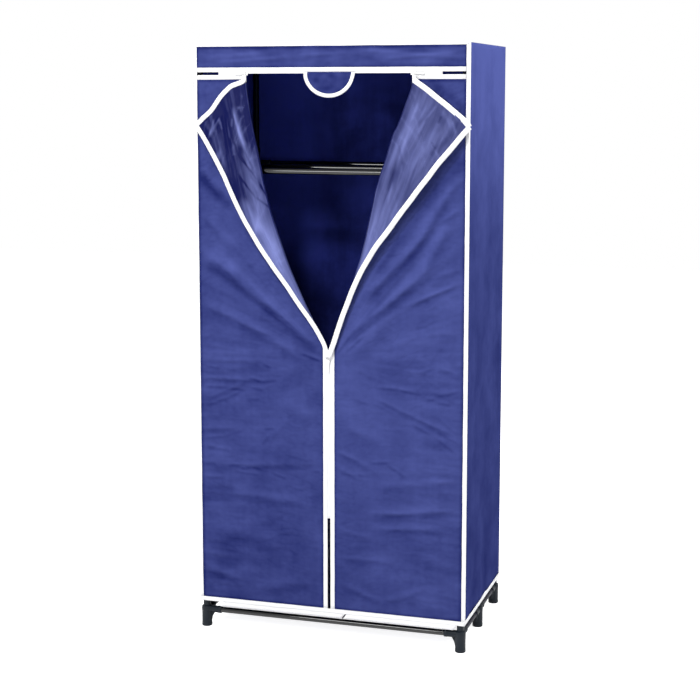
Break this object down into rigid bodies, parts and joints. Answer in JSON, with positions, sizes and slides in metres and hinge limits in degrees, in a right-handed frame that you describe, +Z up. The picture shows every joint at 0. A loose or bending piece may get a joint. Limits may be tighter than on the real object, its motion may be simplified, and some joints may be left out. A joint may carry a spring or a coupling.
{
  "type": "portable fabric wardrobe",
  "caption": "Tall free-standing wardrobe of tubes in plastic connectors under a cloth cover, its zipped front folded back at the top over a hanging rail.",
  "frame": {"origin": "middle of the overall box on the floor under the feet", "axes": "+X to the wardrobe's right as seen from the front, +Y to its back, +Z up; the zipped front faces -Y"},
  "size_m": [0.753, 0.4634, 1.6],
  "materials": {
    "navy_cloth": "matt non-woven cloth, navy blue, with a fine dimpled face and soft creases",
    "white_binding": "matt white woven tape, folded over the cloth's edges and stitched",
    "zip_tape": "white zip tape with fine coil teeth",
    "zip_metal": "white lacquer on small cast sliders and pulls",
    "tube_lacquer": "glossy black lacquer on thin steel tube",
    "connector_plastic": "dark grey moulded plastic with a low sheen"
  },
  "bodies": {
    "root": {"base_corner_front_left": "connector_plastic", "upright_front_left": "tube_lacquer", "rail_corner_front_left": "connector_plastic", "top_corner_front_left": "connector_plastic", "base_corner_back_left": "connector_plastic", "upright_back_left": "tube_lacquer", "rail_corner_back_left": "connector_plastic", "top_corner_back_left": "connector_plastic", "base_corner_front_right": "connector_plastic", "upright_front_right": "tube_lacquer", "rail_corner_front_right": "connector_plastic", "top_corner_front_right": "connector_plastic", "base_corner_back_right": "connector_plastic", "upright_back_right": "tube_lacquer", "rail_corner_back_right": "connector_plastic", "top_corner_back_right": "connector_plastic", "base_tee_left": "connector_plastic", "base_rail_left": "tube_lacquer", "rail_tee_left": "connector_plastic", "rail_bar_left": "tube_lacquer", "top_rail_left": "tube_lacquer", "base_tee_right": "connector_plastic", "base_rail_right": "tube_lacquer", "rail_tee_right": "connector_plastic", "rail_bar_right": "tube_lacquer", "top_rail_right": "tube_lacquer", "base_rail_front": "tube_lacquer", "rail_bar_front": "tube_lacquer", "top_rail_front": "tube_lacquer", "base_rail_back": "tube_lacquer", "rail_bar_back": "tube_lacquer", "top_rail_back": "tube_lacquer", "base_rail_middle": "tube_lacquer", "hanging_rail": "tube_lacquer", "floor_sheet": "navy_cloth", "roof_panel": "navy_cloth", "back_panel": "navy_cloth", "side_panel_left": "navy_cloth", "side_panel_right": "navy_cloth", "valance_panel": "navy_cloth", "door_left": "navy_cloth", "door_right": "navy_cloth", "front_piping": "white_binding", "valance_binding": "white_binding", "door_top_binding_left": "white_binding", "door_top_binding_right": "white_binding", "centre_binding_left": "white_binding", "centre_binding_right": "white_binding", "hem_binding": "white_binding", "cross_zip": "zip_tape", "centre_zip": "zip_tape"},
    "flap_left": {"flap_left": "navy_cloth"},
    "flap_right": {"flap_right": "navy_cloth"},
    "pull_centre": {"pull_centre": "zip_metal"},
    "pull_left": {"pull_left": "zip_metal"},
    "pull_right": {"pull_right": "zip_metal"},
    "slider_centre": {"slider_centre": "zip_metal"},
    "slider_left": {"slider_left": "zip_metal"},
    "slider_right": {"slider_right": "zip_metal"},
    "tab": {"tab": "navy_cloth"}
  },
  "joints": [
    {"name": "flap_left_fold", "type": "hinge", "parent": "root", "child": "flap_left", "pos_m": [0, -0.22383, 0.778], "axis": [-0.2823, 0, 0.9593], "range_deg": [0, 180]},
    {"name": "flap_right_fold", "type": "hinge", "parent": "root", "child": "flap_right", "pos_m": [0, -0.22383, 0.778], "axis": [-0.2823, 0, -0.9593], "range_deg": [0, 180]},
    {"name": "tab_lift", "type": "hinge", "parent": "root", "child": "tab", "pos_m": [0, -0.22154, 1.5267], "axis": [-1, 0, 0], "range_deg": [0, 150]},
    {"name": "zip_centre_slide", "type": "slide", "parent": "root", "child": "slider_centre", "axis": [0, 0, -1], "range_m": [0, 0.42]},
    {"name": "zip_left_slide", "type": "slide", "parent": "root", "child": "slider_left", "axis": [-1, 0, 0], "range_m": [0, 0.067]},
    {"name": "zip_right_slide", "type": "slide", "parent": "root", "child": "slider_right", "axis": [1, 0, 0], "range_m": [0, 0.067]},
    {"name": "pull_centre_swing", "type": "hinge", "parent": "slider_centre", "child": "pull_centre", "pos_m": [0, -0.22484, 0.769], "axis": [-1, 0, 0], "range_deg": [0, 120]},
    {"name": "pull_left_swing", "type": "hinge", "parent": "slider_left", "child": "pull_left", "pos_m": [-0.22826, -0.22484, 1.5233], "axis": [0, 0, 1], "range_deg": [0, 120]},
    {"name": "pull_right_swing", "type": "hinge", "parent": "slider_right", "child": "pull_right", "pos_m": [0.22826, -0.22484, 1.5233], "axis": [0, 0, -1], "range_deg": [0, 120]}
  ]
}
